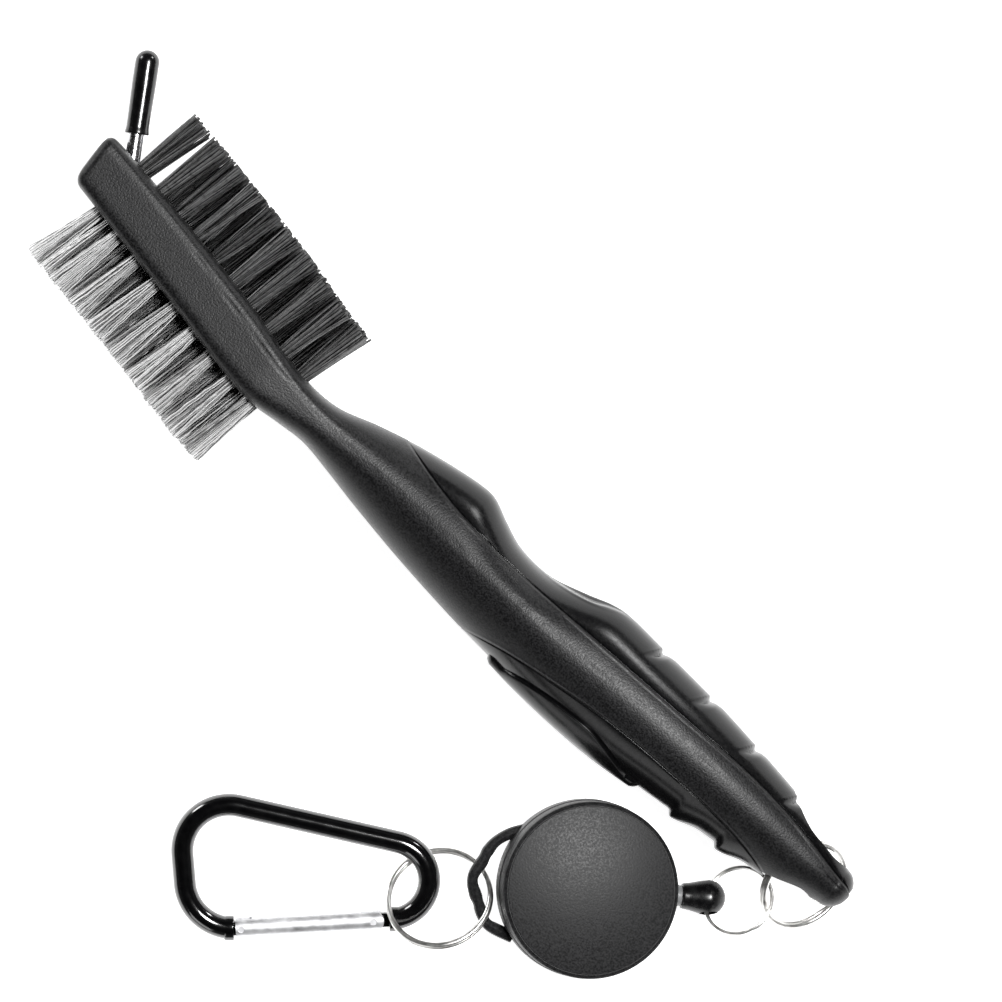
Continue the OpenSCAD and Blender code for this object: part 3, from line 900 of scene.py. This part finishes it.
def make_reel():
    back = lathe(back_profile(), 96)
    add(back, lug())
    piece("reel_back_shell", back, reel_plastic, "reel", ["reel_back"],
        place=reel_frame, crease=30)
    piece("reel_front_shell", lathe(face_profile(), 96), reel_plastic, "reel", ["reel_front"],
        place=reel_frame, crease=30)
    along_x = Matrix.Rotation(math.radians(90), 4, "Y")
    mouth = soften([(0.55, 14.2), (1.4, 14.2), (1.4, 15.8), (bush_r, 15.8), (bush_r, 17.15), (0.9, 17.2),
        (0.55, 16.8), (0.55, 14.2)], 0.18, 3)
    piece("exit_bush_ring", lathe(mouth, 40), bush_abs(), "reel", ["exit_bush"],
        place=reel_frame @ along_x)
    pitch = wound_tall / wound_turns
    wound = [(wound_in_r, wound_low)]
    for i in range(wound_turns):
        for k in range(7):
            a = math.pi * k / 6
            wound.append((wound_out_r + pitch / 2 * 1.6 * math.sin(a),
                wound_low + pitch * (i + (1 - math.cos(a)) / 2)))
    wound += [(wound_in_r, wound_low + pitch * wound_turns), (wound_in_r, wound_low)]
    cord = braided_cord()
    piece("wound_cord", lathe(wound, 72), cord, "spool", ["cord_winding"],
        place=reel_frame, crease=50)

    def cord_path(t):
        x = cord_from + (cord_to - cord_from) * t
        return Vector((x, 0, 0)), Vector((0, 1, 0)), Vector((0, 0, 1))

    stub = piece("pull_cord", tube(12, 90, cord_path, lambda t: cord_r), cord, None, ["cord_tail"],
        place=reel_frame)
    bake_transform(stub)


def make_bell():
    swell = [(bell_small_r - 0.1, bell_from), (bell_small_r, bell_from + 0.25), (2.5, 18.6), (2.95, 20.4),
        (bell_big_r, bell_to - bell_big_r)]
    dome = [(bell_big_r * math.cos(a), bell_to - bell_big_r + bell_big_r * math.sin(a))
        for a in [math.pi / 2 * k / 12 for k in range(1, 13)]]
    dome[-1] = (0, bell_to)
    profile = [(0, 18.4), (0.6, 18.4), (0.6, bell_from)] + soften(swell, 0.5) + dome
    along_x = Matrix.Rotation(math.radians(90), 4, "Y")
    bell = piece("cord_end_bell", lathe(profile, 64), bell_rubber(), "cord_end",
        ["cord_end"], place=reel_frame @ along_x)
    hole = bmesh.new()
    bmesh.ops.create_cone(hole, cap_ends=True, segments=32, radius1=ring_hole_r, radius2=ring_hole_r,
        depth=12)
    bmesh.ops.transform(hole, verts=hole.verts, matrix=reel_frame @ Matrix.Translation((ring_hole_at, 0, 0))
        @ Matrix.Rotation(math.radians(ring_hole_turn), 4, "X"))
    cut(bell, hole)


# ---------------------------------------------------------------- the carabiner

bar_r = 2.05
top_bend = (-13.9, 2.9, 8.5)
low_bend = (-13.1, -2.5, 8.9)
end_bend = (15.1, -2.5, 7.2)
hinge_at = (12.2, -9.9)
gate_turn = 3.3
gate_len = 25.4
tongue_r = 1.3
tongue_thick = 1.5
collar_r = bar_r + 0.25

gate_axis = -Vector(joints["gate_open"]["axis"])
hinge_point = Vector(joints["gate_open"]["pos_m"])
bar_way = gate_axis.cross(Vector((0, 0, 1))).normalized()
if bar_way.dot(hinge_point - centre_of("carabiner_body")) < 0:
    bar_way.negate()
carabiner_frame = stand(hinge_point, bar_way, gate_axis) @ Matrix.Translation((-hinge_at[0], -hinge_at[1], 0))


def leave(p, q):
    """Heading at which the outline leaves both circles."""
    dx, dy = q[0] - p[0], q[1] - p[1]
    return math.atan2(dy, dx) + math.acos((p[2] - q[2]) / math.hypot(dx, dy))


def bar_line():
    """Middle points of the bar and their outward headings, from the hinge round to the nose."""
    top_a, back_a = leave(top_bend, end_bend), leave(low_bend, top_bend)
    low_a = math.radians(-90)
    stops = []
    for bend, a, b in ((end_bend, low_a, top_a), (top_bend, top_a, back_a),
            (low_bend, back_a, low_a + 2 * math.pi)):
        stops += [(bend, a + (b - a) * k / 30) for k in range(31)]
    outs = [Vector((math.cos(a), math.sin(a), 0)) for _, a in stops]
    return [(Vector((b[0], b[1], 0)) + out * b[2], out) for (b, _), out in zip(stops, outs)]


def on_gate():
    return Matrix.Translation((*hinge_at, 0)) @ Matrix.Rotation(math.radians(gate_turn), 4, "Z")


def make_carabiner():
    line = bar_line()
    last = len(line) - 1
    sides = 24

    def place(k, i):
        a = 2 * math.pi * (k % sides) / sides
        point, out = line[i]
        close = min(1.0, 0.82 + 0.18 * min(i, last - i))
        return point + (out * math.cos(a) + Vector((0, 0, 1)) * math.sin(a)) * bar_r * close

    bm = skin(sides, last, place)
    hinge = block((4.6, 2 * tongue_r, tongue_thick), (2.0, 0, 0), bevel=0.25)
    nose = block((3.6, 2 * tongue_r, tongue_thick), (-gate_len + 0.8, 0, 0), bevel=0.25)
    knuckle = bmesh.new()
    bmesh.ops.create_cone(knuckle, cap_ends=True, segments=32, radius1=tongue_r, radius2=tongue_r,
        depth=tongue_thick)
    for shape in (hinge, nose, knuckle):
        add(bm, shape, on_gate())
    for (point, out), way in ((line[0], 1), (line[last], -1)):
        inwards = Vector((-out.y, out.x, 0)) * way
        collar = [(1.2, 0), (collar_r, 0), (collar_r, 1.6), (bar_r - 0.1, 1.9), (1.2, 1.9), (1.2, 0)]
        add(bm, lathe(soften(collar, 0.2, 3), 32),
            stand(point, out, inwards) @ Matrix.Scale(1 / MM, 4)
            @ Matrix.Diagonal((1, bar_r / collar_r, 1, 1)))
    piece("carabiner_bar", bm, anodised, "carabiner", ["carabiner_body"], place=carabiner_frame)


# ---------------------------------------------------------------- floor, light and camera

view_at = Vector((-3.9, -40.0)) * MM
view_up = Vector((0.69610, -0.71794, 0))
view_wide = 180.36 * MM
view_height = 1.2
sensor = 36.0


def area_light(name, at, size, power, aim):
    data = bpy.data.lights.new(name, "AREA")
    data.energy, data.size, data.shape = power, size, "SQUARE"
    obj = bpy.data.objects.new(name, data)
    bpy.context.scene.collection.objects.link(obj)
    obj.location = at
    obj.rotation_mode = "QUATERNION"
    obj.rotation_quaternion = (Vector(aim) - Vector(at)).to_track_quat("-Z", "Y")
    obj.visible_camera = False


def make_floor():
    bm = bmesh.new()
    bmesh.ops.create_grid(bm, x_segments=8, y_segments=8, size=6)
    mesh = bpy.data.meshes.new("floor")
    bm.to_mesh(mesh)
    bm.free()
    floor = bpy.data.objects.new("floor", mesh)
    bpy.context.scene.collection.objects.link(floor)
    # a back-lit white acrylic table: it glows, so shadows stay faint
    made, _, surface, _ = blank("opal_acrylic_table", Roughness=0.9, Specular_IOR_Level=0.1,
        Emission_Strength=0.95)
    surface.inputs["Base Color"].default_value = paint("#f0f0f0")
    surface.inputs["Emission Color"].default_value = paint("#ffffff")
    mesh.materials.append(made)


def make_sky():
    """Dim surroundings: dark overhead, so that black plastic stays black, and faint near the floor."""
    world = bpy.data.worlds.new("studio")
    bpy.context.scene.world = world
    world.use_nodes = True
    tree = world.node_tree
    tree.nodes.clear()
    way = tree.nodes.new("ShaderNodeTexCoord").outputs["Generated"]
    height = node(tree, "SeparateXYZ", {"Vector": way}).outputs["Z"]
    glow = node(tree, "MapRange", {"Value": height, "From Min": 0.0, "From Max": 0.7,
        "To Min": 0.12, "To Max": 0.0})
    lamp = node(tree, "Background", {"Color": paint("#ffffff"), "Strength": glow.outputs["Result"]})
    seen = node(tree, "Background", {"Color": paint("#f6f6f6"), "Strength": 1.0})
    eye = tree.nodes.new("ShaderNodeLightPath").outputs["Is Camera Ray"]
    both = tree.nodes.new("ShaderNodeMixShader")
    tree.links.new(eye, both.inputs[0])
    tree.links.new(lamp.outputs[0], both.inputs[1])
    tree.links.new(seen.outputs[0], both.inputs[2])
    out = tree.nodes.new("ShaderNodeOutputWorld")
    tree.links.new(both.outputs[0], out.inputs[0])


def make_light():
    right = Vector((view_up.y, -view_up.x, 0))
    here = Vector((view_at.x, view_at.y, 0))
    # a softbox overhead, and three standing boxes: beyond the bristles, the head and the carabiner
    area_light("overhead", here + right * 0.42 + view_up * 0.12 + Vector((0, 0, 1.45)), 0.34, 25, here)
    area_light("bristle_side", here + right * 0.8 + view_up * 0.8 + Vector((0, 0, 0.45)), 0.16, 2.2, here)
    area_light("head_side", here - right * 0.85 + view_up * 0.75 + Vector((0, 0, 0.34)), 0.3, 3.5, here)
    area_light("low_side", here - right * 0.6 - view_up * 1.0 + Vector((0, 0, 0.4)), 0.4, 1.2, here)


def make_camera():
    data = bpy.data.cameras.new("camera")
    obj = bpy.data.objects.new("camera", data)
    bpy.context.scene.collection.objects.link(obj)
    mid = (cad_bounds[0].z + cad_bounds[1].z) / 2
    data.sensor_width = sensor
    data.lens = sensor * view_height / view_wide
    data.clip_start, data.clip_end = 0.01, 30
    back = Vector((0, 0, 1))
    right = view_up.cross(back)
    obj.matrix_world = Matrix.Translation((view_at.x, view_at.y, mid + view_height)) @ Matrix(
        (right, view_up, back)).transposed().to_4x4()
    bpy.context.scene.camera = obj


make_camera()
make_handle()
make_bristles()
make_cap()
make_rings()
make_reel()
make_bell()
make_carabiner()
make_floor()
make_sky()
make_light()
bpy.context.scene.view_settings.view_transform = "Standard"
